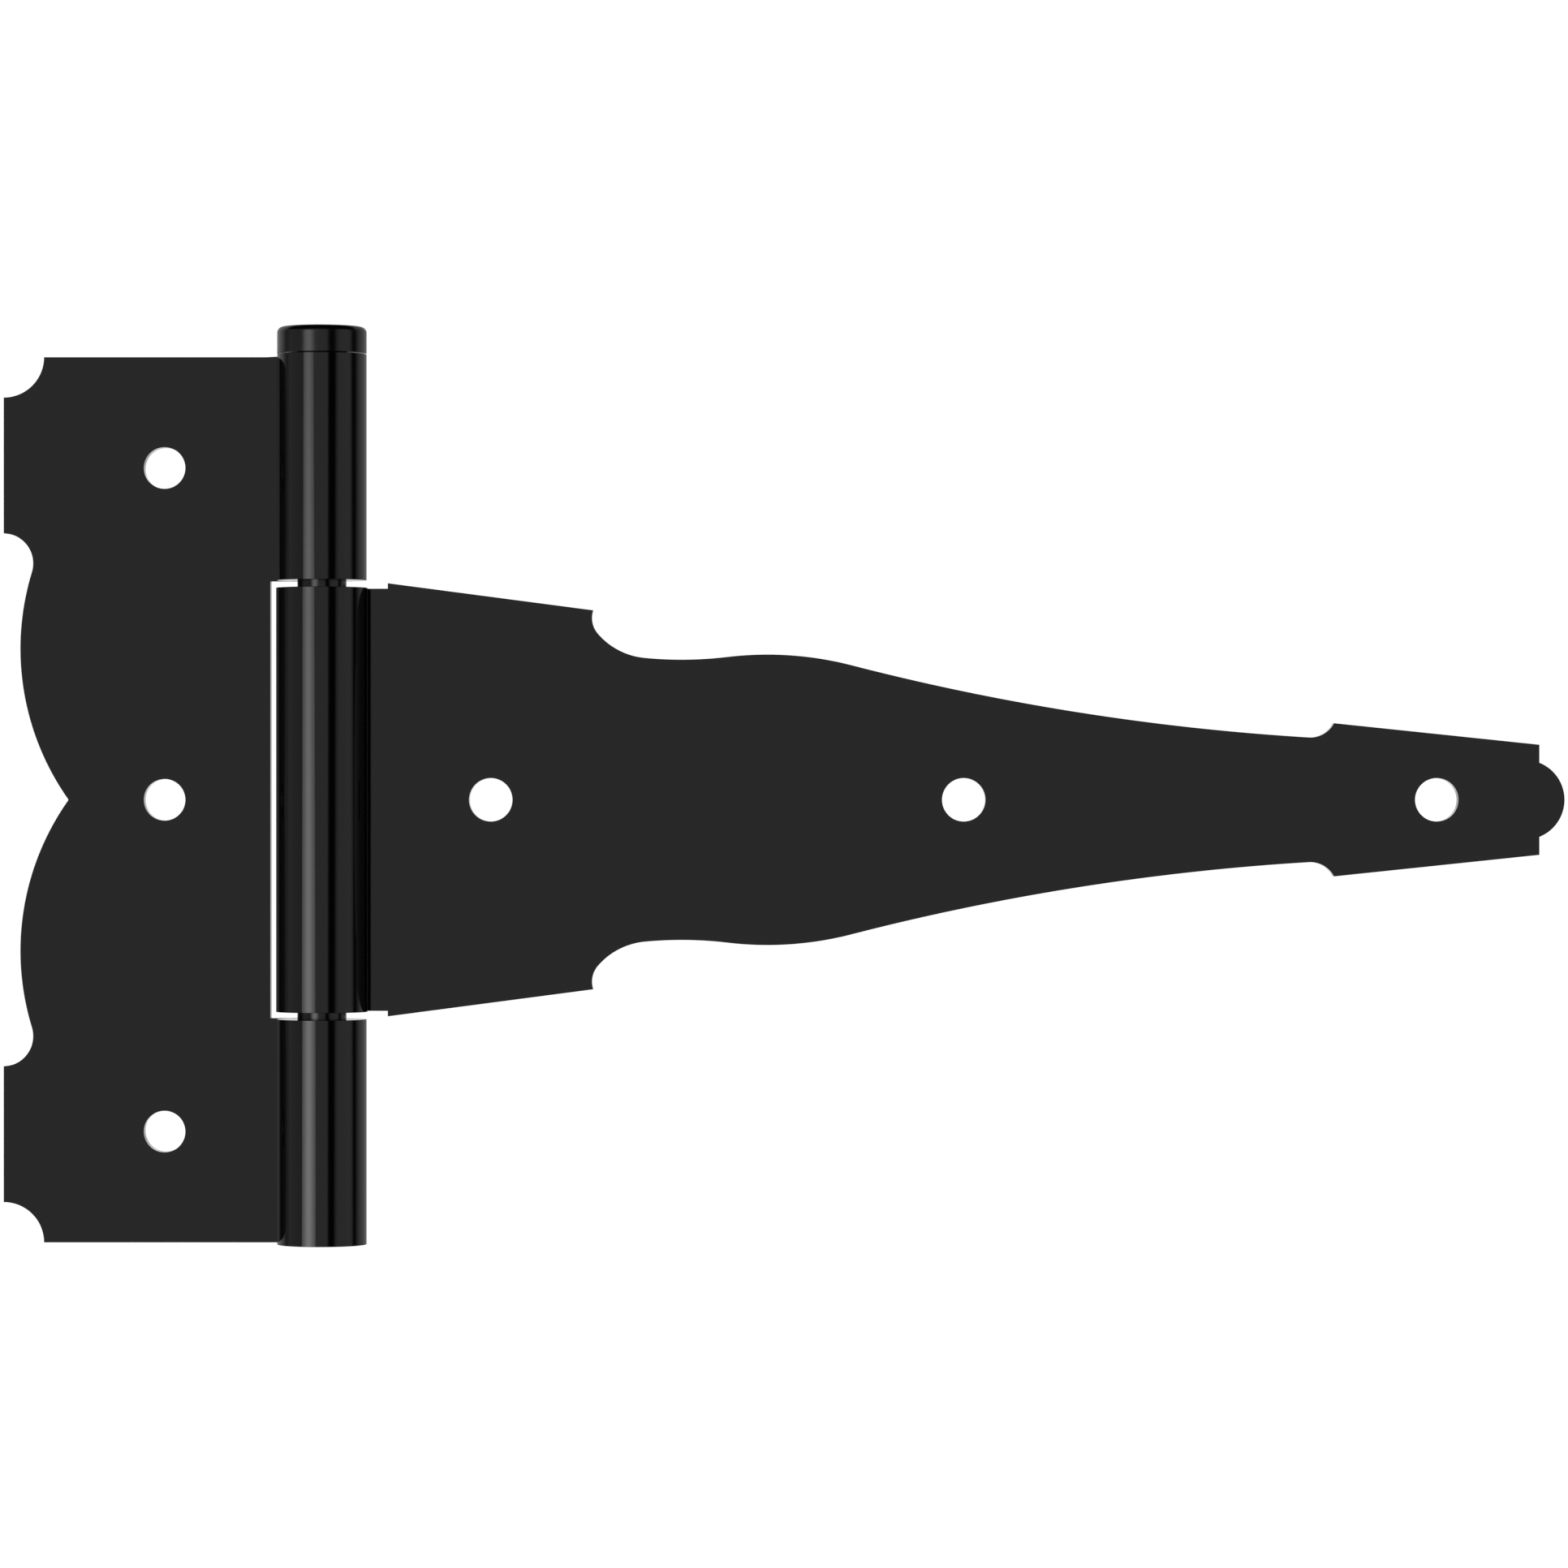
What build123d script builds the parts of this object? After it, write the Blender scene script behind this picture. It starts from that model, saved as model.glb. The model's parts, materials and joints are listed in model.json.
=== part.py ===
from build123d import *
from math import acos, atan, cos, hypot, pi, sin
import os

# A heavy strap T hinge: an upright jamb leaf with two rolled knuckles, a long
# tapered strap leaf with one rolled knuckle between them, and a capped pin.
#
# Frame, in millimetres: the origin is the centre of the jamb leaf's middle
# screw hole, on the plane that both leaves are screwed down on. +X runs along
# the strap to its tip, +Z runs up the pin, and -Y is the face side, where the
# barrel stands proud. The mounting plane is Y = 0.

# ----------------------------------------------------------------- the pin
pin_x = 26.10  # screw line of the jamb leaf to the pin axis
pin_depth = 8.0  # mounting plane to the pin axis
pin_diameter = 8.0
pin_end_recess = 0.3  # the lower end sits just inside the bottom knuckle
pin_end_chamfer = 0.6
cap_diameter = 14.6
cap_height = 4.37
cap_gap = 0.15  # cap to the top knuckle
cap_top_round = 1.0
cap_under_round = 0.05

# ----------------------------------------------------------------- jamb leaf
jamb_thickness = 3.3
jamb_bore = pin_diameter  # pressed on to the pin
jamb_half_height = 72.5
jamb_edge_x = -52.45  # outer edge, from the pin axis
jamb_knuckle_rise = 0.1  # the top knuckle stands this much above the plate's edge
jamb_rise_start_x, jamb_rise_end_x = -9.4, -7.4  # the edge climbs between these
jamb_knuckle_top = jamb_half_height + jamb_knuckle_rise
jamb_corner_scoop = 6.6  # radius of the quarter-circle bites at the corners
jamb_screw_diameter = 6.8
jamb_screw_pitch = 54.35
jamb_notch_half_height = 35.78  # opening for the strap's knuckle
jamb_notch_x = -8.75  # inner end of that opening, from the pin axis
jamb_notch_width = 20.0  # runs out past the barrel

# Scalloped outer edge of the upper half, from the top down to mid-height.
# Each row is (arc centre, end point), from the pin axis; None is a straight line.
JAMB_SCALLOPS = [
    (None, (jamb_edge_x, 43.65)),
    ((-52.57, 38.72), (-47.85, 37.27)),  # small hollow
    ((-6.94, 24.74), (-41.84, 0.0)),  # long round lobe, down to a cusp
]

# ---------------------------------------------------------------- strap leaf
strap_thickness = 3.4
strap_bore = pin_diameter + 0.15  # turns freely on the pin
strap_screw_diameter = 7.1
strap_screw_first_x = 27.33  # first hole, from the pin axis
strap_screw_pitch = 77.47
strap_root_half_height = 34.58  # knuckle and the neck beside it
strap_root_x = 10.46
strap_shoulder_half_height = 35.48
strap_head_x = 199.08
strap_tip_x = 203.20

# Upper edge of the strap from the shoulder to the tip, in rows as above.
STRAP_EDGE = [
    (None, (44.11, 31.05)),  # wing corner
    ((47.88, 29.86), (44.82, 27.28)),  # scoop
    ((53.66, 34.73), (52.56, 23.25)),  # neck
    ((58.56, 86.09), (66.09, 23.41)),  # waist
    ((72.66, -31.37), (86.46, 22.04)),  # swell
    ((185.38, 404.86), (161.27, 10.23)),  # long taper
    ((161.53, 14.54), (165.44, 12.56)),  # flick
    (None, (strap_head_x, 9.03)),  # head corner
    (None, (strap_head_x, 6.08)),  # head notch
    ((196.66, 0.0), (strap_tip_x, 0.0)),  # round tip
]

# ------------------------------------------------------------- both the leaves
joggle_length = 7.0  # the plate steps forward to meet its roll over this length
curl_gap = 0.25  # end of the curl to the face of its own plate
hole_rim_round = 0.3  # deburred rims of the screw holes on the face side
barrel_reach = 9.0  # from the pin axis to just past the outside of the barrel
face_depth = pin_depth + barrel_reach  # mounting plane to past the barrel's front
end_trim = 2.0  # extra plate length, trimmed off by the outline
side_trim = 1.0  # extra strap height on each side, trimmed off likewise

# The outline of each leaf is drawn on this plane, with the pin axis as its origin.
plan = Plane(origin=(pin_x, 0, 0), x_dir=(1, 0, 0), z_dir=(0, -1, 0))


def arc_middle(start, centre, end):
    """The point of a shallow arc half-way between its two ends."""
    start_x, start_y = start[0] - centre[0], start[1] - centre[1]
    end_x, end_y = end[0] - centre[0], end[1] - centre[1]
    radius = (hypot(start_x, start_y) + hypot(end_x, end_y)) / 2
    middle_x, middle_y = start_x + end_x, start_y + end_y
    size = hypot(middle_x, middle_y)
    return (centre[0] + radius * middle_x / size, centre[1] + radius * middle_y / size)


def draw_chain(start, steps):
    """Draws lines and arcs end to end from rows of (arc centre or None, end)."""
    here = start
    for centre, end in steps:
        if centre is None:
            Line(here, end)
        else:
            ThreePointArc(here, arc_middle(here, centre, end), end)
        here = end


def draw_section(side, thickness, bore, plate_end):
    """The bent strip as seen along the pin: plate, joggle and curl, closed.

    side is -1 for a plate to the left of the pin and +1 for one to its right.
    Points are placed from the pin axis: out along the plate, then to the back."""
    inner = bore / 2
    outer = inner + thickness
    half = thickness / 2
    plate_face = pin_depth - thickness
    step = pin_depth - outer
    bend = (joggle_length**2 + step**2) / (4 * step)  # mid-thickness radius
    lean = 2 * atan(step / joggle_length)  # slope half-way along the joggle
    curl_end = acos((plate_face - curl_gap) / outer)
    curl_middle = curl_end / 2 + pi

    def at(out, back):
        return (pin_x + side * out, back - pin_depth)

    def plate_bend(radius, angle):
        centre_back = pin_depth - half - bend
        return at(joggle_length - radius * sin(angle), centre_back + radius * cos(angle))

    def roll_bend(radius, angle):
        centre_back = inner + half + bend
        return at(radius * sin(angle), centre_back - radius * cos(angle))

    def curl(radius, angle):
        return at(radius * sin(angle), radius * cos(angle))

    back_end, back_joggle = at(plate_end, pin_depth), at(joggle_length, pin_depth)
    face_end, face_joggle = at(plate_end, plate_face), at(joggle_length, plate_face)
    back_middle = plate_bend(bend + half, lean)
    face_middle = roll_bend(bend + half, lean)
    roll_outer, roll_inner = at(0, outer), at(0, inner)

    # back of the plate and outside of the curl
    Line(back_end, back_joggle)
    ThreePointArc(back_joggle, plate_bend(bend + half, lean / 2), back_middle)
    ThreePointArc(back_middle, roll_bend(bend - half, lean / 2), roll_outer)
    ThreePointArc(roll_outer, curl(outer, curl_middle), curl(outer, curl_end))
    Line(curl(outer, curl_end), curl(inner, curl_end))
    # bore of the curl and face of the plate
    ThreePointArc(curl(inner, curl_end), curl(inner, curl_middle), roll_inner)
    ThreePointArc(roll_inner, roll_bend(bend + half, lean / 2), face_middle)
    ThreePointArc(face_middle, plate_bend(bend - half, lean / 2), face_joggle)
    Line(face_joggle, face_end)
    Line(face_end, back_end)


def deburr_screw_holes(leaf, diameter):
    """Rounds the face-side rims of the screw holes of the leaf being built."""
    rims = (
        leaf.edges()
        .filter_by(GeomType.CIRCLE)
        .filter_by(lambda edge: abs(edge.radius - diameter / 2) < 1e-6)
        .group_by(Axis.Y)[0]
    )
    fillet(rims, radius=hole_rim_round)


def make_jamb_leaf():
    with BuildPart() as leaf:
        with BuildSketch(Plane.XY.offset(-jamb_half_height)):
            with BuildLine():
                draw_section(-1, jamb_thickness, jamb_bore, -jamb_edge_x + end_trim)
            make_face()
        extrude(amount=2 * jamb_half_height + jamb_knuckle_rise)
        # trim to the outline, with the small rise at the top knuckle
        scoop_corner = (jamb_edge_x, jamb_half_height)
        with BuildSketch(plan):
            with BuildLine():
                draw_chain(
                    (barrel_reach, 0),
                    [
                        (None, (barrel_reach, jamb_half_height)),
                        (None, (jamb_edge_x + jamb_corner_scoop, jamb_half_height)),
                        (scoop_corner, (jamb_edge_x, jamb_half_height - jamb_corner_scoop)),
                        *JAMB_SCALLOPS,
                    ],
                )
                mirror(about=Plane.XZ)
            make_face()
            with BuildLine():
                Polyline(
                    (jamb_rise_start_x, jamb_half_height),
                    (jamb_rise_end_x, jamb_knuckle_top),
                    (barrel_reach, jamb_knuckle_top),
                    (barrel_reach, jamb_half_height),
                    close=True,
                )
            make_face()
        extrude(amount=face_depth, mode=Mode.INTERSECT)
        # opening between the two knuckles
        with BuildSketch(plan):
            with Locations((jamb_notch_x + jamb_notch_width / 2, 0)):
                Rectangle(jamb_notch_width, 2 * jamb_notch_half_height)
        extrude(amount=face_depth, mode=Mode.SUBTRACT)
        # three screw holes, one above another
        with BuildSketch(Plane.XZ):
            with GridLocations(jamb_screw_pitch, jamb_screw_pitch, 1, 3):
                Circle(jamb_screw_diameter / 2)
        extrude(amount=jamb_thickness, mode=Mode.SUBTRACT)
        deburr_screw_holes(leaf, jamb_screw_diameter)
    leaf.part.label = "jamb_leaf"
    return leaf.part


def make_strap_leaf():
    strip_half_height = strap_shoulder_half_height + side_trim
    with BuildPart() as leaf:
        with BuildSketch(Plane.XY.offset(-strip_half_height)):
            with BuildLine():
                draw_section(1, strap_thickness, strap_bore, strap_tip_x + end_trim)
            make_face()
        extrude(amount=2 * strip_half_height)
        # trim to the outline
        with BuildSketch(plan):
            with BuildLine():
                draw_chain(
                    (-barrel_reach, 0),
                    [
                        (None, (-barrel_reach, strap_root_half_height)),
                        (None, (strap_root_x, strap_root_half_height)),
                        (None, (strap_root_x, strap_shoulder_half_height)),
                        *STRAP_EDGE,
                    ],
                )
                mirror(about=Plane.XZ)
            make_face()
        extrude(amount=face_depth, mode=Mode.INTERSECT)
        # three screw holes along the strap
        with BuildSketch(plan):
            with Locations((strap_screw_first_x + strap_screw_pitch, 0)):
                with GridLocations(strap_screw_pitch, strap_screw_pitch, 3, 1):
                    Circle(strap_screw_diameter / 2)
        extrude(amount=strap_thickness, mode=Mode.SUBTRACT)
        deburr_screw_holes(leaf, strap_screw_diameter)
    leaf.part.label = "strap_leaf"
    return leaf.part


def make_hinge_pin():
    shank_bottom = -jamb_half_height + pin_end_recess
    cap_bottom = jamb_knuckle_top + cap_gap
    cap_top = cap_bottom + cap_height
    pin_origin = (pin_x, -pin_depth, 0)
    with BuildPart() as pin:
        with BuildSketch(Plane(origin=pin_origin, x_dir=(1, 0, 0), z_dir=(0, -1, 0))):
            with BuildLine():
                Polyline(
                    (0, shank_bottom),
                    (pin_diameter / 2, shank_bottom),
                    (pin_diameter / 2, cap_bottom),
                    (cap_diameter / 2, cap_bottom),
                    (cap_diameter / 2, cap_top),
                    (0, cap_top),
                    close=True,
                )
            make_face()
        revolve(axis=Axis(pin_origin, (0, 0, 1)))
        # lower end of the shank, then the cap's top rim and its underside rim
        rims = pin.edges().filter_by(GeomType.CIRCLE).sort_by(Axis.Z)
        chamfer(rims[0], length=pin_end_chamfer)
        rims = pin.edges().filter_by(GeomType.CIRCLE).sort_by(Axis.Z)
        fillet(rims[-1], radius=cap_top_round)
        cap_rims = (
            pin.edges()
            .filter_by(GeomType.CIRCLE)
            .filter_by(lambda edge: abs(edge.radius - cap_diameter / 2) < 1e-6)
            .sort_by(Axis.Z)
        )
        fillet(cap_rims[0], radius=cap_under_round)
    pin.part.label = "hinge_pin"
    return pin.part


os.makedirs("parts", exist_ok=True)
for piece in (make_jamb_leaf(), make_strap_leaf(), make_hinge_pin()):
    export_step(piece, f"parts/{piece.label}.step")
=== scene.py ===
# A black strap hinge: a jamb leaf to -X, a long strap leaf to +X, and a pin
# standing along Z between them. Screw faces look to -Y, where the camera is,
# and the leaves' flat backs lie in the mounting plane y = 0. z = 0 is mid-height.
# Sizes are in millimetres from the pin axis unless a name or comment says otherwise.
import json
import math

import bmesh
import bpy
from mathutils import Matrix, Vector
from mathutils.geometry import delaunay_2d_cdt


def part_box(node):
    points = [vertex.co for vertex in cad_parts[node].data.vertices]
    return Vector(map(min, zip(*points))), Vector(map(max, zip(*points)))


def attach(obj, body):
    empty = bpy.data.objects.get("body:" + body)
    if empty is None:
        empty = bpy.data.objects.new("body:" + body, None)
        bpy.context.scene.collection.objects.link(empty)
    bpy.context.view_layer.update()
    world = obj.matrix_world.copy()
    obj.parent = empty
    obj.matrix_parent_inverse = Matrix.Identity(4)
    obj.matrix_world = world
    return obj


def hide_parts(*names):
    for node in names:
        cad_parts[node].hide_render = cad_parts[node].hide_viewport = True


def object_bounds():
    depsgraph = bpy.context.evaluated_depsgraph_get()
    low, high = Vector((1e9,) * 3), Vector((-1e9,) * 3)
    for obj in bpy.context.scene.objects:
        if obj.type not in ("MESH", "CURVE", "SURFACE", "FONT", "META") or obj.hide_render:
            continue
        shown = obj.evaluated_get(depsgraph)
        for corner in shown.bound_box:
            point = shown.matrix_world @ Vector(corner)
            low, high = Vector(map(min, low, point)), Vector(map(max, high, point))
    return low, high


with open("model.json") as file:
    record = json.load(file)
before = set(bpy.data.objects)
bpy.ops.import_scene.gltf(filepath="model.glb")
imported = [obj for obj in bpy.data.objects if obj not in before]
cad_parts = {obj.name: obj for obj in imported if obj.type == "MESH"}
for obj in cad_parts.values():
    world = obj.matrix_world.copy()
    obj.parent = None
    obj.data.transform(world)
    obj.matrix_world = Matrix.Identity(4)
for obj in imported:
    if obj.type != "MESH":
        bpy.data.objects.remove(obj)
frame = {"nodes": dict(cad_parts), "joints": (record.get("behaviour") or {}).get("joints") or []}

CAD_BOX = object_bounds()
MM = 0.001

# ---------------------------------------------------------- driving dimensions
PIN_X, PIN_Y = (v / MM for v in frame["joints"][0]["pos_m"][:2])
jamb_low, jamb_high = (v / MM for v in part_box("jamb_leaf"))
strap_low, strap_high = (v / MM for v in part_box("strap_leaf"))
pin_low, pin_high = (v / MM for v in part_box("hinge_pin"))
DEPTH = -PIN_Y  # mounting plane to pin axis
JAMB_H = -jamb_low.z
KNUCKLE_TOP = jamb_high.z  # the top knuckle stands a little above its plate
JAMB_X = jamb_low.x - PIN_X
TIP_X = strap_high.x - PIN_X
JAMB_T, STRAP_T = 3.3, 3.4  # sheet thicknesses
JAMB_OUTER = jamb_high.x - PIN_X  # outer radii of the curls
STRAP_OUTER = PIN_X - strap_low.x
JOGGLE = 7.0  # pin axis to the roll line, where a flat plate starts to bend
CURL_GAP = 0.25  # a curl's end to its own plate
EDGE = 0.06  # the coat's rounding along every pressed edge
STEPS = 4  # facets in that rounding
BEND_STEPS = 8  # sections in each of the joggle's two bends
CURL_STEP = 2.0  # degrees between sections of a curl
SPACING = 6.0  # between points inside flats and along roll lines
HOLE_SIDES = 72
CREASE = math.radians(31)  # an edge sharper than this is shaded as a crease


# ------------------------------------------------------------- mesh utilities
class Shell:
    """Collects vertices in millimetres and faces, and writes one closed mesh."""

    def __init__(self):
        self.verts, self.faces, self.edge_share, self.narrow = [], [], [], []

    def add(self, point, share=0.0):
        """A vertex; share says how much it belongs to an edge, where the coat is thin."""
        self.verts.append(point)
        self.edge_share.append(share)
        return len(self.verts) - 1

    def face(self, numbers, narrow=False):
        """A face; a narrow one, on a rounded edge, is shaded by its broad neighbours."""
        self.faces.append(tuple(numbers))
        self.narrow.append(narrow)

    def quads(self, a, b, closed=False, narrow=()):
        """Quads between two equally long rows of vertex numbers; narrow lists narrow ones."""
        count = len(a)
        for i in range(count if closed else count - 1):
            j = (i + 1) % count
            self.face((a[i], a[j], b[j], b[i]), i in narrow)

    def write(self, name):
        bm = bmesh.new()
        coat_edge = bm.verts.layers.float.new("coat_edge")
        made = []
        for point, share in zip(self.verts, self.edge_share):
            vert = bm.verts.new([v * MM for v in point])
            vert[coat_edge] = share
            made.append(vert)
        broad = bm.faces.layers.int.new("broad")
        for numbers, narrow in zip(self.faces, self.narrow):
            if len(set(numbers)) >= 3:
                # passes over a face that repeats a vertex or doubles another face
                try:
                    bm.faces.new([made[i] for i in numbers])[broad] = 0 if narrow else 1
                except ValueError:
                    pass
        bmesh.ops.remove_doubles(bm, verts=bm.verts, dist=2e-6)
        bmesh.ops.dissolve_degenerate(bm, edges=bm.edges, dist=1e-7)
        bmesh.ops.recalc_face_normals(bm, faces=bm.faces)
        if bm.calc_volume(signed=True) < 0:
            bmesh.ops.reverse_faces(bm, faces=bm.faces)
        directions = shading(bm, broad)
        mesh = bpy.data.meshes.new(name)
        bm.to_mesh(mesh)
        bm.free()
        mesh.attributes.remove(mesh.attributes["broad"])
        for polygon in mesh.polygons:
            polygon.use_smooth = True
        mesh.set_sharp_from_angle(angle=CREASE)
        mesh.normals_split_custom_set(directions)
        return link_object(name, mesh)


def link_object(name, data):
    obj = bpy.data.objects.new(name, data)
    bpy.context.scene.collection.objects.link(obj)
    return obj


def shading(bm, broad):
    """The shading direction of every face corner, in the mesh's own order.

    A corner takes the mean of the broad faces that it meets without crossing
    a crease, so flats and walls stay true right up to the rounded edges
    between them."""
    for part in (bm.verts, bm.edges, bm.faces):
        part.index_update()
    bm.normal_update()
    sharp = [e.calc_face_angle(math.pi) > CREASE for e in bm.edges]
    weighted = [f.normal * f.calc_area() for f in bm.faces]
    wide = [f[broad] == 1 for f in bm.faces]
    table = {}
    for vert in bm.verts:
        left = {f.index: f for f in vert.link_faces}
        joined = {}
        for edge in vert.link_edges:
            if not sharp[edge.index]:
                pair = [f.index for f in edge.link_faces]
                for i in pair:
                    joined.setdefault(i, []).extend(j for j in pair if j != i)
        while left:
            first = next(iter(left))
            del left[first]
            fan, stack = [first], [first]
            while stack:
                for j in joined.get(stack.pop(), ()):
                    if j in left:
                        del left[j]
                        fan.append(j)
                        stack.append(j)
            chosen = [i for i in fan if wide[i]] or fan
            total = sum((weighted[i] for i in chosen), Vector((0, 0, 0)))
            if total.length < 1e-20:
                total = sum((weighted[i] for i in fan), Vector((0, 0, 0)))
            total = total.normalized()
            for i in fan:
                table[i, vert.index] = total
    return [table[f.index, v.index] for f in bm.faces for v in f.verts]


# ------------------------------------------------------------ outlines in plan
def arc_points(start, centre, end, sagitta=0.0015, widest=math.radians(4)):
    """Points of a shallow arc after start, up to and with end."""
    ax, ay = start[0] - centre[0], start[1] - centre[1]
    bx, by = end[0] - centre[0], end[1] - centre[1]
    start_radius, end_radius = math.hypot(ax, ay), math.hypot(bx, by)
    start_angle = math.atan2(ay, ax)
    turn = math.atan2(ax * by - ay * bx, ax * bx + ay * by)
    step = min(widest, 2 * math.acos(1 - sagitta / start_radius))
    count = max(2, math.ceil(abs(turn) / step))
    points = []
    for i in range(1, count):
        part = i / count
        radius = start_radius + (end_radius - start_radius) * part
        angle = start_angle + turn * part
        points.append((centre[0] + radius * math.cos(angle), centre[1] + radius * math.sin(angle)))
    return points + [end]


def path(start, *steps):
    """The points of lines and arcs end to end; a step is (end,) or (centre, end)."""
    points = [start]
    for step in steps:
        points += step if len(step) == 1 else arc_points(points[-1], *step)
    return points


def mirrored(half):
    """The upper half of an outline, ending on z = 0, then its mirror image below."""
    return half + [(x, -z) for x, z in reversed(half[:-1])]


def inside_loop(loop, x, z, margin):
    """True when (x, z) is inside the loop and at least margin away from it."""
    inside = False
    for i, (x0, z0) in enumerate(loop):
        x1, z1 = loop[(i + 1) % len(loop)]
        if (z0 > z) != (z1 > z) and x < (x1 - x0) * (z - z0) / (z1 - z0) + x0:
            inside = not inside
        if margin > 0:
            dx, dz = x1 - x0, z1 - z0
            t = max(0, min(1, ((x - x0) * dx + (z - z0) * dz) / (dx * dx + dz * dz)))
            if math.hypot(x - x0 - t * dx, z - z0 - t * dz) < margin:
                return False
    return inside


def inward(a, b):
    """The unit direction into an anticlockwise loop from its edge a to b."""
    dx, dz = b[0] - a[0], b[1] - a[1]
    size = math.hypot(dx, dz)
    return (-dz / size, dx / size)


def inset_moves(loop, on_roll):
    """How far each outline point moves for one unit of inset."""
    moves = []
    for i, here in enumerate(loop):
        before = inward(loop[i - 1], here)
        after = inward(here, loop[(i + 1) % len(loop)])
        if on_roll[i - 1]:
            moves.append(after)
        elif on_roll[i]:
            moves.append(before)
        else:
            dot = before[0] * after[0] + before[1] * after[1]
            moves.append(((before[0] + after[0]) / (1 + dot), (before[1] + after[1]) / (1 + dot)))
    return moves


def spaced(z0, z1):
    """Heights along a roll line, shared by the plate and its curl."""
    count = max(2, round((z1 - z0) / SPACING))
    return [z0 + (z1 - z0) * i / count for i in range(count + 1)]


# ------------------------------------------------------ a leaf's flat and curl
# Through the sheet, w runs from -half at the back of the plate and the outside
# of the curl to +half at the front of the plate and the inside of the curl.
def wall_profile(half):
    """(inset, y, edge share) down a plate's rounded wall, front to back."""
    rounding = []
    for k in range(STEPS + 1):
        a = math.radians(90 * k / STEPS)
        rounding.append((EDGE * (1 - math.sin(a)), half - EDGE * (1 - math.cos(a))))
    rounding += [(inset, -w) for inset, w in reversed(rounding)]
    shares = [0.35] + [1.0] * (STEPS - 1) + [0.5]
    shares += shares[::-1]
    return [(inset, -half - w, share) for (inset, w), share in zip(rounding, shares)]


def add_wall(shell, points, moves, profile, skip=()):
    """A wall round a closed outline, but for the edges in skip; gives its vertex rows."""
    rows = [
        [shell.add((PIN_X + (x + d * move_x), y, z + d * move_z), share) for d, y, share in profile]
        for (x, z), (move_x, move_z) in zip(points, moves)
    ]
    rounded = set(range(len(profile) - 1)) - {STEPS}
    for i, row in enumerate(rows):
        if i not in skip:
            shell.quads(row, rows[(i + 1) % len(rows)], narrow=rounded)
    return rows


def add_hole(shell, hole, profile):
    hole_x, hole_z, radius = hole
    turns = [2 * math.pi * i / HOLE_SIDES for i in range(HOLE_SIDES)]
    points = [(hole_x + radius * math.cos(a), hole_z + radius * math.sin(a)) for a in turns]
    moves = [((x - hole_x) / radius, (z - hole_z) / radius) for x, z in points]
    return add_wall(shell, points, moves, profile)


def flat_outline(shell, rim, skip):
    """A flat's outer ring of vertex numbers, with points added along the roll lines."""
    ring = []
    for i, number in enumerate(rim):
        ring.append(number)
        if i in skip:
            a, b = shell.verts[number], shell.verts[rim[(i + 1) % len(rim)]]
            heights = spaced(min(a[2], b[2]), max(a[2], b[2]))[1:-1]
            if a[2] > b[2]:
                heights = heights[::-1]
            ring += [shell.add((a[0], a[1], z)) for z in heights]
    return ring


def add_lattice(shell, loop, holes, y):
    """Sparse points inside a flat, which keep its triangles well shaped."""
    low_x, high_x = min(p[0] for p in loop), max(p[0] for p in loop)
    low_z, high_z = min(p[1] for p in loop), max(p[1] for p in loop)
    columns, rows = int((high_x - low_x) / SPACING), int((high_z - low_z) / SPACING)
    numbers = []
    for i in range(1, columns):
        for j in range(1, rows):
            x = low_x + (high_x - low_x) * (i + 0.5 * (j % 2)) / columns
            z = low_z + (high_z - low_z) * j / rows
            near_hole = any(math.hypot(x - hx, z - hz) < r + 1.5 for hx, hz, r in holes)
            if not near_hole and inside_loop(loop, x, z, margin=1.2):
                numbers.append(shell.add((PIN_X + x, y, z)))
    return numbers


def add_flat(shell, loop, holes, rings, y):
    """Fills a flat between its rings of vertex numbers, the outer one first."""
    numbers, edges = [], []
    for ring in rings:
        start, count = len(numbers), len(ring)
        edges += [(start + i, start + (i + 1) % count) for i in range(count)]
        numbers += ring
    numbers += add_lattice(shell, loop, holes, y)
    points = [Vector((shell.verts[v][0], shell.verts[v][2])) for v in numbers]
    points, _, triangles, origins = delaunay_2d_cdt(points, edges, [], 1, 1e-6)[:4]
    for triangle in triangles:
        x = sum(points[i].x for i in triangle) / len(triangle) - PIN_X
        z = sum(points[i].y for i in triangle) / len(triangle)
        # a hole's rim stands EDGE outside its bore, and nothing spans it
        if any(math.hypot(x - hx, z - hz) < (r + EDGE) * 0.9985 for hx, hz, r in holes):
            continue
        if inside_loop(loop, x, z, margin=0.0):
            shell.face(numbers[origins[i][0]] for i in triangle)


def add_plate(shell, side, half, loop, holes):
    profile = wall_profile(half)
    at_roll = [abs(x - side * JOGGLE) < 1e-6 for x, _ in loop]
    on_roll = [here and after for here, after in zip(at_roll, at_roll[1:] + at_roll[:1])]
    skip = {i for i, rolled in enumerate(on_roll) if rolled}
    rows = add_wall(shell, loop, inset_moves(loop, on_roll), profile, skip)
    hole_rows = [add_hole(shell, hole, profile) for hole in holes]
    for k in (0, len(profile) - 1):
        rings = [flat_outline(shell, [row[k] for row in rows], skip)]
        rings += [[row[k] for row in hole] for hole in hole_rows]
        add_flat(shell, loop, holes, rings, profile[k][1])


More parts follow.
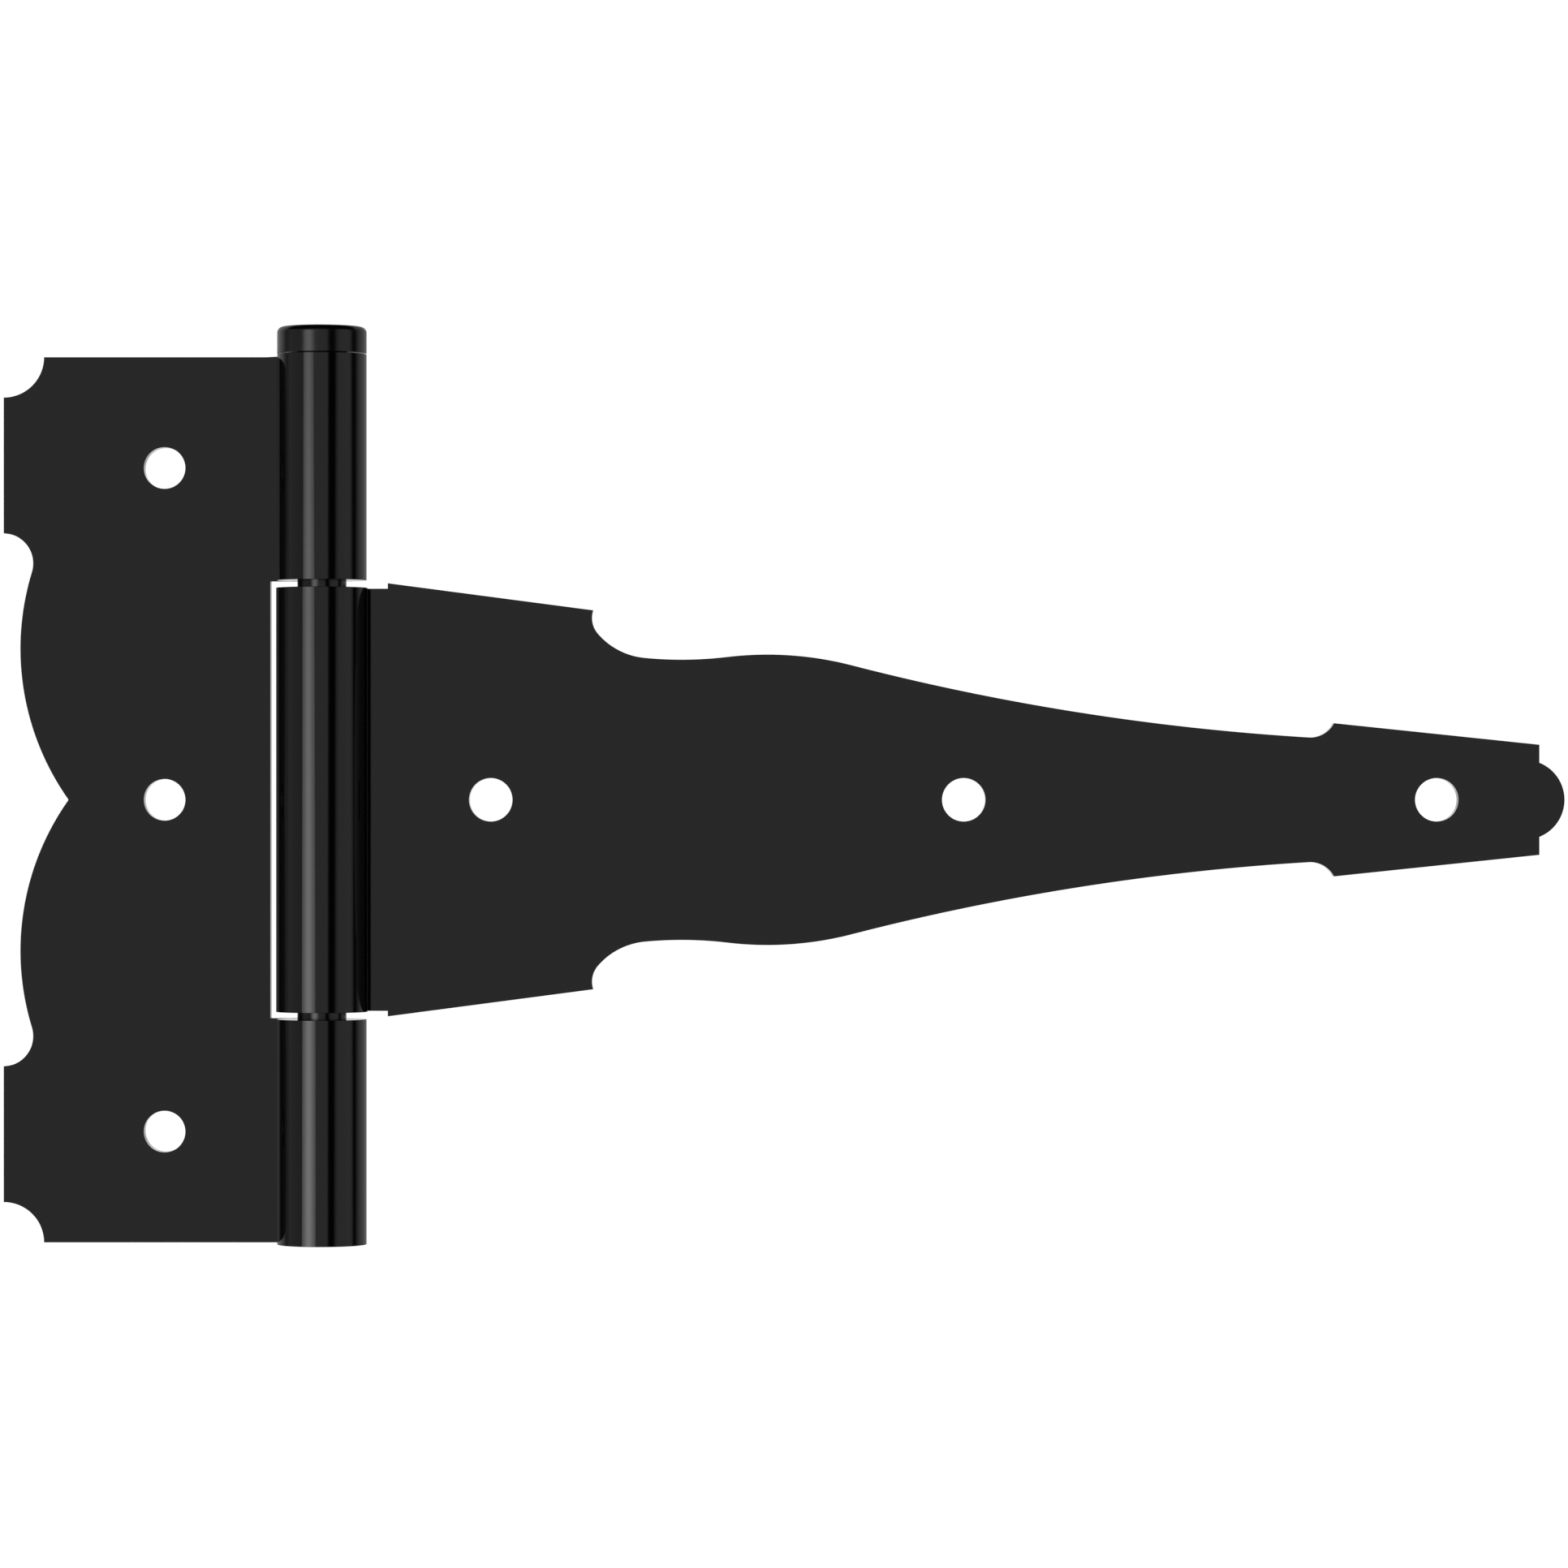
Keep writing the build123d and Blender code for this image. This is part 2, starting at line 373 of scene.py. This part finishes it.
def roll_stations(thickness, outer):
    """Sections of the joggle and the curl, from the roll line to the curl's end.

    Each is (u, v, angle, shrink): the mid-sheet point, u towards the leaf and
    v towards the mounting plane, the sheet's turn in radians, and how far the
    section shrinks for the rounded end."""
    half = thickness / 2
    middle = outer - thickness + half
    step = DEPTH - outer
    bend = (JOGGLE**2 + step**2) / (4 * step)
    lean = 2 * math.atan(step / JOGGLE)
    sweep = 2 * math.pi - math.acos((DEPTH - thickness - CURL_GAP) / outer)
    last = sweep - EDGE / middle
    stations = []
    for i in range(BEND_STEPS + 1):
        a = lean * (i / BEND_STEPS)
        v = DEPTH - half - bend + bend * math.cos(a)
        stations.append((JOGGLE - bend * math.sin(a), v, a, 0.0))
    for i in range(1, BEND_STEPS + 1):
        a = lean * (1 - i / BEND_STEPS)
        stations.append((bend * math.sin(a), middle + bend - bend * math.cos(a), a, 0.0))
    turns = round(math.degrees(last) / CURL_STEP)
    curl = [(last * i / turns, 0.0) for i in range(1, turns + 1)]
    for k in range(1, STEPS + 1):
        a = math.radians(90 * k / STEPS)
        shrink = min(EDGE * (1 - math.cos(a)), 0.97 * EDGE)
        curl.append((last + EDGE / middle * math.sin(a), shrink))
    stations += [(-middle * math.sin(a), middle * math.cos(a), a, shrink) for a, shrink in curl]
    return stations


def roll_section(half, z0, z1, shrink):
    """The sheet's cross-section: (w, z, edge share) points, and its narrow sides."""
    points, narrow = [], set()
    radius = EDGE - shrink
    bottom, top = z0 + EDGE, z1 - EDGE
    between = spaced(bottom, top)[1:-1]

    def corner(w, z, start):
        narrow.update(range(len(points), len(points) + STEPS))
        for k in range(STEPS + 1):
            a = math.radians(start + 90 * k / STEPS)
            share = 0.35 if k in (0, STEPS) else 1.0
            points.append((w + radius * math.cos(a), z + radius * math.sin(a), share))

    corner(half - EDGE, top, 0)
    corner(-half + EDGE, top, 90)
    points.extend((-half + shrink, z, 0.0) for z in reversed(between))
    corner(-half + EDGE, bottom, 180)
    corner(half - EDGE, bottom, 270)
    points.extend((half - shrink, z, 0.0) for z in between)
    return points, narrow if shrink == 0 else range(len(points))


def add_roll(shell, side, half, stations, z0, z1):
    """Sweeps the sheet between heights z0 and z1 through the stations, and caps its end."""
    previous = None
    for u, v, angle, shrink in stations:
        points, narrow = roll_section(half, z0, z1, shrink)
        normal_u, normal_v = math.sin(angle), -math.cos(angle)
        ring = [
            shell.add((PIN_X + side * (u + w * normal_u), v + w * normal_v - DEPTH, z), share)
            for w, z, share in points
        ]
        if previous:
            shell.quads(previous, ring, closed=True, narrow=narrow)
        previous = ring
    shell.face(previous)


def leaf(name, side, thickness, outer, loop, open_edges, holes):
    """A pressed and rolled leaf as one closed mesh.

    side: -1 to -X, 1 to +X. loop: closed (x, z) outline of the flat plate only.
    open_edges: (z_low, z_high) of its edges on the roll line, each of which
    carries on into a joggle and a curl round the pin. holes: (x, z, radius)."""
    shell = Shell()
    after = loop[1:] + loop[:1]
    if sum(x0 * z1 - x1 * z0 for (x0, z0), (x1, z1) in zip(loop, after)) < 0:
        loop = loop[::-1]
    add_plate(shell, side, thickness / 2, loop, holes)
    stations = roll_stations(thickness, outer)
    for z0, z1 in open_edges:
        add_roll(shell, side, thickness / 2, stations, z0, z1)
    return shell.write(name)


# -------------------------------------------------------------- the jamb leaf
NOTCH_X, NOTCH_H = -8.75, 35.78  # the notch between its two knuckles, half height
CORNER = 6.6  # radius of the scooped outer corners
JAMB_HOLE_PITCH, JAMB_HOLE_R = 54.35, 3.4


def jamb_leaf():
    # (end,) or (arc centre, end), in (x, z), from the roll line outwards
    upper = path(
        (-JOGGLE, JAMB_H),
        ((JAMB_X + CORNER, JAMB_H),),
        ((JAMB_X, JAMB_H), (JAMB_X, JAMB_H - CORNER)),
        ((JAMB_X, 43.65),),
        ((-52.57, 38.72), (-47.85, 37.27)),
        ((-6.94, 24.74), (-41.84, 0.0)),
    )
    # the plate slopes up to the taller top knuckle
    loop = [(-JOGGLE, KNUCKLE_TOP), (-7.4, KNUCKLE_TOP), (-9.4, JAMB_H)] + mirrored(upper)[1:]
    loop += [(-JOGGLE, -NOTCH_H), (NOTCH_X, -NOTCH_H), (NOTCH_X, NOTCH_H), (-JOGGLE, NOTCH_H)]
    return leaf(
        "jamb_leaf_coated",
        side=-1,
        thickness=JAMB_T,
        outer=JAMB_OUTER,
        loop=loop,
        open_edges=[(NOTCH_H, KNUCKLE_TOP), (-JAMB_H, -NOTCH_H)],
        holes=[(-PIN_X, JAMB_HOLE_PITCH * i, JAMB_HOLE_R) for i in (-1, 0, 1)],
    )


# ------------------------------------------------------------- the strap leaf
ROOT_H = 34.58  # half height of its knuckle
ROOT_X = 10.46  # where the root steps up to the shoulder
TIP_SIDE_X = 199.08  # the short upright sides behind the tip
STRAP_HOLE_X, STRAP_HOLE_PITCH, STRAP_HOLE_R = 27.33, 77.47, 3.55


def strap_leaf():
    # (end,) or (arc centre, end), in (x, z), from the roll line to the tip
    upper = path(
        (JOGGLE, ROOT_H),
        ((ROOT_X, ROOT_H),),
        ((ROOT_X, 35.48),),
        ((44.11, 31.05),),
        ((47.88, 29.86), (44.82, 27.28)),
        ((53.66, 34.73), (52.56, 23.25)),
        ((58.56, 86.09), (66.09, 23.41)),
        ((72.66, -31.37), (86.46, 22.04)),
        ((185.38, 404.86), (161.27, 10.23)),
        ((161.53, 14.54), (165.44, 12.56)),
        ((TIP_SIDE_X, 9.03),),
        ((TIP_SIDE_X, 6.08),),
        ((196.66, 0.0), (TIP_X, 0.0)),
    )
    return leaf(
        "strap_leaf_coated",
        side=1,
        thickness=STRAP_T,
        outer=STRAP_OUTER,
        loop=mirrored(upper),
        open_edges=[(-ROOT_H, ROOT_H)],
        holes=[(STRAP_HOLE_X + STRAP_HOLE_PITCH * i, 0.0, STRAP_HOLE_R) for i in range(3)],
    )


# -------------------------------------------------------------------- the pin
SHANK, CAP = 4.0, pin_high.x - PIN_X  # radii
CAP_ROUND, RIM_ROUND, SHANK_ROUND = 1.0, 0.05, 0.15
CHAMFER = 0.6  # at the shank's lower end, between its two roundings
CAP_GAP = 0.15  # top knuckle to the cap's underside
SHANK_STEPS = 20
PIN_SEGMENTS = 180
HANDLED = 0.6  # edge share of a rounding
UNTOUCHED = -2.4  # edge share that keeps full gloss where nothing handles the cap


def turned_arc(centre, z, radius, start, end, count, share=HANDLED):
    """(radius, z, edge share) along an arc; start and end are in degrees."""
    angles = [math.radians(start + (end - start) * i / count) for i in range(count + 1)]
    return [(centre + radius * math.cos(a), z + radius * math.sin(a), share) for a in angles]


def pin_profile():
    """(radius, z, edge share) from the foot of the axis to its top."""
    low, high, under = pin_low.z, pin_high.z, KNUCKLE_TOP + CAP_GAP
    neck = under - SHANK_ROUND
    inset = SHANK_ROUND + CHAMFER
    return [
        (0.0, low, 0.0),
        (SHANK - 1.4, low, 0.0),
        *turned_arc(SHANK - inset, low + SHANK_ROUND, SHANK_ROUND, -90, -45, 3),
        *turned_arc(SHANK - SHANK_ROUND, low + inset, SHANK_ROUND, -45, 0, 3),
        *((SHANK, low + (neck - low) * i / SHANK_STEPS, 0.0) for i in range(1, SHANK_STEPS)),
        *turned_arc(SHANK + SHANK_ROUND, neck, SHANK_ROUND, 180, 90, 3, share=0.0),
        *((r, under, UNTOUCHED) for r in (SHANK + 0.3, SHANK + 1.2, CAP - 0.8, CAP - 0.1)),
        *turned_arc(CAP - RIM_ROUND, under + RIM_ROUND, RIM_ROUND, -90, 0, 4),
        (CAP, under + 1.4, 0.0),
        (CAP, high - CAP_ROUND - 0.3, 0.0),
        *turned_arc(CAP - CAP_ROUND, high - CAP_ROUND, CAP_ROUND, 0, 90, 14),
        *((r, high, 0.0) for r in (CAP - CAP_ROUND - 0.3, CAP - 3.5, 2.0, 0.0)),
    ]


def revolved(name, profile, segments):
    """A piece turned about the pin axis, its profile starting and ending on the axis."""
    shell = Shell()
    turns = [2 * math.pi * i / segments for i in range(segments)]
    rows = []
    for r, z, share in profile:
        around = turns if r >= 1e-9 else [0.0]
        rows.append([
            shell.add((PIN_X + r * math.cos(a), PIN_Y + r * math.sin(a), z), share) for a in around
        ])
    for a, b in zip(rows, rows[1:]):
        if len(a) == 1:
            for i in range(segments):
                shell.face((a[0], b[i], b[(i + 1) % segments]))
        elif len(b) == 1:
            for i in range(segments):
                shell.face((a[i], a[(i + 1) % segments], b[0]))
        else:
            # facets of a rounded edge: both of their rims belong to it
            rounded = shell.edge_share[a[0]] > 0 and shell.edge_share[b[0]] > 0
            shell.quads(a, b, closed=True, narrow=range(segments) if rounded else ())
    return shell.write(name)


jamb_piece = jamb_leaf()
strap_piece = strap_leaf()
pin_piece = revolved("hinge_pin_coated", pin_profile(), PIN_SEGMENTS)


# --------------------------------------------------------------- shader nodes
class Nodes:
    """The emptied node tree of a material or world, with short ways to fill it."""

    def __init__(self, owner):
        owner.use_nodes = True
        self.tree = owner.node_tree
        self.tree.nodes.clear()

    def add(self, kind, inputs=(), **settings):
        """A node; each input is a value, or a socket to link from."""
        made = self.tree.nodes.new("ShaderNode" + kind)
        for key, value in settings.items():
            setattr(made, key, value)
        for key, value in dict(inputs).items():
            if isinstance(value, bpy.types.NodeSocket):
                self.tree.links.new(value, made.inputs[key])
            else:
                made.inputs[key].default_value = value
        return made

    def math(self, operation, *values):
        return self.add("Math", enumerate(values), operation=operation).outputs[0]

    def map_range(self, value, low, high, out_low=0.0, out_high=1.0, kind="SMOOTHSTEP"):
        inputs = {
            "Value": value, "From Min": low, "From Max": high, "To Min": out_low, "To Max": out_high,
        }
        return self.add("MapRange", inputs, interpolation_type=kind).outputs["Result"]

    def mix(self, factor, a, b, kind="FLOAT"):
        inputs = {"Factor": factor, "A": a, "B": b}
        return self.add("Mix", inputs, data_type=kind).outputs["Result"]

    def mix_shader(self, factor, off, on):
        return self.add("MixShader", {0: factor, 1: off, 2: on}).outputs[0]

    def noise(self, place, scale, detail, roughness):
        inputs = {"Vector": place, "Scale": scale, "Detail": detail, "Roughness": roughness}
        return self.add("TexNoise", inputs).outputs["Fac"]


# -------------------------------------------------------------- gloss coating
def shade(base, red, green, blue):
    return (base * red, base * green, base * blue, 1)


def coating(name, base, rough, peel_scale, peel_height, seed):
    """A near black coat; peel_height is in metres, and noise scales are per metre."""
    material = bpy.data.materials.new(name)
    nodes = Nodes(material)
    place = nodes.add("Mapping", {
        "Vector": nodes.add("TexCoord").outputs["Object"],
        "Location": (seed, seed * 0.37, -seed * 0.61),
    }).outputs["Vector"]
    edge = nodes.add("Attribute", attribute_name="coat_edge").outputs["Fac"]

    # cloudy variation of the coat's thickness, a few millimetres across
    cloud = nodes.noise(place, scale=95.0, detail=4.0, roughness=0.55)
    # fine handling haze, well under a millimetre
    haze = nodes.noise(place, scale=1500.0, detail=3.0, roughness=0.6)

    # roughness: gloss, a touch rougher where the coat is thin along edges
    haze_gain, edge_gain = rough * 0.35, 0.05
    gloss = nodes.map_range(
        cloud, low=0.3, high=0.7, out_low=rough * 0.8, out_high=rough * 1.25, kind="LINEAR"
    )
    gloss = nodes.math("MULTIPLY_ADD", haze, haze_gain, gloss)
    gloss = nodes.math("MULTIPLY_ADD", edge, edge_gain, gloss)

    # colour: near black, a shade lighter where the coat thins
    edge_fade = 0.5
    dark = shade(base, red=0.8, green=0.8, blue=0.8)
    light = shade(base, red=1.25, green=1.25, blue=1.27)
    worn = shade(base, red=2.2, green=2.2, blue=2.2)
    colour = nodes.mix(cloud, dark, light, kind="RGBA")
    colour = nodes.mix(nodes.math("MULTIPLY", edge, edge_fade), colour, worn, kind="RGBA")

    # orange peel of a sprayed coat
    peel = nodes.noise(place, scale=peel_scale, detail=1.5, roughness=0.4)
    bump = nodes.add("Bump", {"Strength": 1.0, "Distance": peel_height, "Height": peel})
    bsdf = nodes.add("BsdfPrincipled", {
        "Base Color": colour,
        "Roughness": gloss,
        "Normal": bump.outputs["Normal"],
        "IOR": 1.5,
        "Metallic": 0.0,
    })
    nodes.add("OutputMaterial", {"Surface": bsdf.outputs["BSDF"]})
    return material


LEAF_COAT = dict(base=0.0004, rough=0.04, peel_scale=620.0, peel_height=2.0e-6)
PIN_COAT = dict(base=0.0004, rough=0.13, peel_scale=760.0, peel_height=1.5e-6)
jamb_coat = coating("gloss_black_paint", seed=3.1, **LEAF_COAT)
strap_coat = coating("gloss_black_paint_strap", seed=7.7, **LEAF_COAT)
pin_coat = coating("gloss_black_pin", seed=12.3, **PIN_COAT)

for piece, node, body, material, slot in (
    (jamb_piece, "jamb_leaf", "jamb", jamb_coat, "gloss_black_paint"),
    (strap_piece, "strap_leaf", "strap", strap_coat, "gloss_black_paint"),
    (pin_piece, "hinge_pin", "jamb", pin_coat, "gloss_black_pin"),
):
    piece.data.materials.append(material)
    cad = frame["nodes"][node]
    if not cad.material_slots:
        cad.data.materials.append(material)
    for material_slot in cad.material_slots:
        material_slot.material = material
    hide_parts(node)
    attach(piece, body)

# ---------------------------------------------------------------------- floor
FLOOR_GAP = 0.05  # below the lowest point of the hinge
FLOOR_HALF = 6.0  # metres
WHITE = (1, 1, 1, 1)
WHITE_STRENGTH = 1.02  # the white behind the hinge, and of the distant floor


def floor_material():
    """Pale and matt, but glowing white to the camera at grazing angles."""
    material = bpy.data.materials.new("pale_floor")
    nodes = Nodes(material)
    matt = nodes.add("BsdfDiffuse", {"Color": (0.86, 0.86, 0.86, 1)}).outputs[0]
    glow = nodes.add("Emission", {"Color": WHITE, "Strength": WHITE_STRENGTH}).outputs[0]
    geometry = nodes.add("NewGeometry").outputs
    facing = nodes.add(
        "VectorMath", {0: geometry["Incoming"], 1: geometry["Normal"]}, operation="DOT_PRODUCT"
    ).outputs["Value"]
    blend = nodes.mix_shader(nodes.map_range(facing, low=0.125, high=0.34), off=glow, on=matt)
    camera_ray = nodes.add("LightPath").outputs["Is Camera Ray"]
    final = nodes.mix_shader(camera_ray, off=matt, on=blend)
    nodes.add("OutputMaterial", {"Surface": final})
    return material


def build_floor():
    z = (CAD_BOX[0].z / MM - FLOOR_GAP) * MM
    bm = bmesh.new()
    for x, y in ((-1, -1), (1, -1), (1, 1), (-1, 1)):
        bm.verts.new((x * FLOOR_HALF, y * FLOOR_HALF, z))
    bm.faces.new(bm.verts)
    mesh = bpy.data.meshes.new("floor")
    bm.to_mesh(mesh)
    bm.free()
    floor = link_object("floor", mesh)
    floor.visible_glossy = False
    mesh.materials.append(floor_material())


build_floor()

# ---------------------------------------------------------------- studio world
# What the gloss coat mirrors: a soft pale room with one strip light at the
# front left and two dark flags. Azimuth 0 is straight in front, towards -Y,
# positive to +X; tilt is positive upwards; both are in degrees.
# ROOM is (azimuth, brightness) at eye level, without the strip light.
ROOM = [
    (-180, 0.92), (-176.5, 0.8), (-171, 0.52), (-165, 0.46), (-143.9, 0.56), (-135.5, 0.58),
    (-125.5, 0.58), (-120.9, 0.55), (-116.2, 0.5), (-112.4, 0.44), (-108.6, 0.335),
    (-104.8, 0.24), (-100.9, 0.185), (-98, 0.17), (-95.1, 0.225), (-91.2, 0.29), (-88.3, 0.355),
    (-84.4, 0.39), (-80.5, 0.375), (-70.8, 0.37), (-49.2, 0.345), (-32.5, 0.345), (-29.5, 0.53),
    (0.1, 0.53), (16, 0.53), (17.4, 0.44), (19, 0.265), (20.5, 0.14), (21.6, 0.065),
    (23, 0.012), (33.4, 0.012), (35.2, 0.035), (36.5, 0.1), (38.1, 0.18), (41.5, 0.34),
    (44.8, 0.45), (47.6, 0.525), (64.1, 0.535), (78.8, 0.535), (81.3, 0.46), (84.2, 0.39),
    (87, 0.26), (89.8, 0.11), (92.8, 0.02), (95.8, 0.02), (98.8, 0.046), (101.6, 0.1),
    (104.8, 0.168), (107.9, 0.245), (111.8, 0.325), (115.6, 0.385), (120.4, 0.415),
    (145.2, 0.42), (164, 0.4), (171, 0.52), (176.5, 0.8), (180, 0.92),
]
ROOM_CUTS = (-180, -90, 0, 60, 120, 180)
# (azimuth, how far the room's edges lean there, in degrees of azimuth per degree upwards)
LEAN = [
    (-180, 0.0), (-96, 0.1), (-88, 0.1), (-50, 0.55), (-33, 0.0), (17, 0.14), (22, 0.14),
    (34, 0.5), (41, 0.58), (48, 0.6), (64, 0.0), (76, 0.0), (83, -0.6), (89, -0.5),
    (94, -0.45), (100, 0.0), (180, 0.0),
]
# (azimuth, tilt that the pale walls reach): low in front, high behind
WALL_TOP = [
    (-180, 46), (-136, 46), (-124, 42), (-116, 37), (-106, 29), (-96, 24), (-80, 24), (0, 25),
    (80, 24), (96, 24), (106, 29), (116, 37), (124, 42), (136, 46), (180, 46),
]
NEAR = 4.5  # leans and swells go no further than this tilt
# The strip light's sides and swell against tilt: value at eye level, change per
# degree, change per square degree.
STRIP_LEFT = (-46.6, 0.6)
STRIP_RIGHT = (-13.9, -0.75, -0.11)
STRIP_SWELL = (2.14, -0.25, -0.015)  # added along its middle
STRIP_BASE = 1.32  # brightness without the swell
STRIP_WIDTH = 0.113  # spread of the swell across the strip
STRIP_SOFT, WALL_SOFT = 0.3, 3.0  # half widths of soft edges, in degrees
FLOOR_FADE = (0.011, 1.11)  # darkening below eye level: per degree of tilt, and at 0
ROOM_SOFTNESS = 0.9  # strength for rays that are neither mirrored nor the camera's
SECOND_MIRROR = -0.33  # change of strength for light mirrored more than once


def table_value(stops, azimuth):
    for (a0, v0), (a1, v1) in zip(stops, stops[1:]):
        if a0 <= azimuth <= a1:
            return v0 + (v1 - v0) * (azimuth - a0) / (a1 - a0)


def ramp(nodes, factor, stops):
    """A piecewise straight curve of factor from 0 to 1: stops are (position, value)."""
    made = nodes.add("ValToRGB", {"Fac": factor})
    elements = made.color_ramp.elements
    made.color_ramp.interpolation = "LINEAR"
    for element, (_, v) in zip(list(elements), (stops[0], stops[-1])):
        element.color = (v, v, v, 1)
    for position, v in stops[1:-1]:
        elements.new(position).color = (v, v, v, 1)
    return made.outputs["Color"]


def by_azimuth(nodes, source, stops, low, high, cuts=(-180, 0, 180)):
    """Reads a table of the whole turn, split at the cuts to keep its edges sharp."""
    result = None
    for start, end in zip(cuts, cuts[1:]):
        part = [(start, table_value(stops, start))]
        part += [stop for stop in stops if start < stop[0] < end]
        part += [(end, table_value(stops, end))]
        part = [((a - start) / (end - start), (v - low) / (high - low)) for a, v in part]
        span = end - start
        here = ramp(nodes, nodes.math("MULTIPLY_ADD", source, 1 / span, -start / span), part)
        if result is None:
            result = here
        else:
            result = nodes.mix(nodes.math("GREATER_THAN", source, float(start)), result, here)
    return nodes.math("MULTIPLY_ADD", result, high - low, low)


def against_tilt(nodes, near, level, slope, square=None):
    """A straight or, with square, a bent curve of the near tilt."""
    line = nodes.math("MULTIPLY_ADD", near, slope, level)
    if square is None:
        return line
    return nodes.math("MULTIPLY_ADD", nodes.math("MULTIPLY", near, near), square, line)


def soft_edge(nodes, value, edge, softness, out_low, out_high):
    low = nodes.math("SUBTRACT", edge, softness)
    high = nodes.math("ADD", edge, softness)
    return nodes.map_range(value, low, high, out_low, out_high)


def strip_light(nodes, azimuth, tilt, near):
    """The strip's brightness and mask: it is brightest along its middle and lower down."""
    left = against_tilt(nodes, near, *STRIP_LEFT)
    right = against_tilt(nodes, near, *STRIP_RIGHT)
    from_left = nodes.math("SUBTRACT", azimuth, left)
    across = nodes.math("DIVIDE", from_left, nodes.math("SUBTRACT", right, left))
    offset = nodes.math("SUBTRACT", across, 0.5)
    squared = nodes.math("MULTIPLY", offset, offset)
    bell = nodes.math("EXPONENT", nodes.math("MULTIPLY", squared, -1 / STRIP_WIDTH))
    swell = against_tilt(nodes, near, *STRIP_SWELL)
    strip = nodes.math("MULTIPLY_ADD", bell, swell, STRIP_BASE)
    sides = nodes.math(
        "MULTIPLY",
        soft_edge(nodes, azimuth, left, STRIP_SOFT, out_low=0.0, out_high=1.0),
        soft_edge(nodes, azimuth, right, STRIP_SOFT, out_low=1.0, out_high=0.0),
    )
    ends = nodes.math(
        "MULTIPLY",
        nodes.map_range(tilt, low=13.0, high=17.0, out_low=1.0, out_high=0.0),
        nodes.map_range(tilt, low=-31.0, high=-15.0),
    )
    return strip, nodes.math("MULTIPLY", sides, ends)


def mirrored_room(nodes):
    """The brightness of the room in the direction looked at."""
    direction = nodes.add("SeparateXYZ", {0: nodes.add("TexCoord").outputs["Generated"]}).outputs
    degrees = 180 / math.pi
    front = nodes.math("MULTIPLY", direction["Y"], -1.0)
    turn = nodes.math("ARCTAN2", direction["X"], front)
    azimuth = nodes.math("MULTIPLY", turn, degrees)
    height = nodes.math("MINIMUM", nodes.math("MAXIMUM", direction["Z"], -1.0), 1.0)
    tilt = nodes.math("MULTIPLY", nodes.math("ARCSINE", height), degrees)
    near = nodes.math("MINIMUM", nodes.math("MAXIMUM", tilt, -NEAR), NEAR)

    lean = by_azimuth(nodes, azimuth, LEAN, low=-1.0, high=1.0)
    upright = nodes.math("SUBTRACT", azimuth, nodes.math("MULTIPLY", lean, near))
    room = by_azimuth(nodes, upright, ROOM, low=0.0, high=1.0, cuts=ROOM_CUTS)
    strip, mask = strip_light(nodes, azimuth, tilt, near)
    lit_room = nodes.mix(mask, room, strip)

    # the walls end above, and darken gently below down to the floor's dark edge
    top = by_azimuth(nodes, azimuth, WALL_TOP, low=0.0, high=90.0)
    upper = soft_edge(nodes, tilt, top, WALL_SOFT, out_low=1.0, out_high=0.01)
    dark_edge = nodes.map_range(tilt, low=-66.0, high=-54.0, out_low=0.05, out_high=1.0)
    fade = nodes.math("MINIMUM", nodes.math("MULTIPLY_ADD", tilt, *FLOOR_FADE), 1.0)
    lower = nodes.math("MULTIPLY", dark_edge, fade)
    return nodes.math("MULTIPLY", lit_room, nodes.math("MULTIPLY", upper, lower))


def build_world():
    world = bpy.data.worlds.new("studio")
    bpy.context.scene.world = world
    nodes = Nodes(world)

    def background(strength):
        return nodes.add("Background", {"Color": WHITE, "Strength": strength}).outputs[0]

    rays = nodes.add("LightPath").outputs
    # light already mirrored once by a plate or the barrel comes back weaker
    again = nodes.math("GREATER_THAN", rays["Glossy Depth"], 1.5)
    weaker = nodes.math("MULTIPLY_ADD", again, SECOND_MIRROR, 1.0)
    room = background(nodes.math("MULTIPLY", mirrored_room(nodes), weaker))
    unseen = nodes.mix_shader(rays["Is Glossy Ray"], off=background(ROOM_SOFTNESS), on=room)
    seen = background(WHITE_STRENGTH)
    final = nodes.mix_shader(rays["Is Camera Ray"], off=unseen, on=seen)
    nodes.add("OutputWorld", {"Surface": final})
    world.cycles.sampling_method = "NONE"


build_world()

# ------------------------------------------------------------ light and camera
BOX_PLACE, BOX_AIM = (-0.55, -0.9, 1.25), (0.08, 0.0, 0.0)  # metres
BOX_SIZE, BOX_WATTS = 0.9, 6.0
CAMERA_X = 75.36
CAMERA_DISTANCE = 1118.9  # from the strap's front face


def build_soft_box():
    """One big soft box, for the floor's soft shadow only."""
    light = bpy.data.lights.new("soft_box", "AREA")
    light.shape = "RECTANGLE"
    light.size = light.size_y = BOX_SIZE
    light.energy = BOX_WATTS
    box = link_object("soft_box", light)
    box.location = BOX_PLACE
    box.rotation_mode = "QUATERNION"
    box.rotation_quaternion = (Vector(BOX_AIM) - Vector(BOX_PLACE)).to_track_quat("-Z", "Y")
    box.visible_glossy = False
    box.visible_camera = False


def build_camera():
    data = bpy.data.cameras.new("camera")
    data.sensor_width = 36.0
    data.lens = 156.86
    data.shift_y = 0.01008
    data.clip_start, data.clip_end = 0.01, 50
    camera = link_object("camera", data)
    camera.location = ((PIN_X + CAMERA_X) * MM, (-STRAP_T - CAMERA_DISTANCE) * MM, 0.0)
    camera.rotation_euler = (math.radians(90), 0, 0)
    bpy.context.scene.camera = camera


build_soft_box()
build_camera()

view = bpy.context.scene.view_settings
view.view_transform = "Standard"
view.look = "None"
view.exposure = 0.0
view.gamma = 1.0
bpy.context.scene.render.film_transparent = False

bpy.context.view_layer.update()
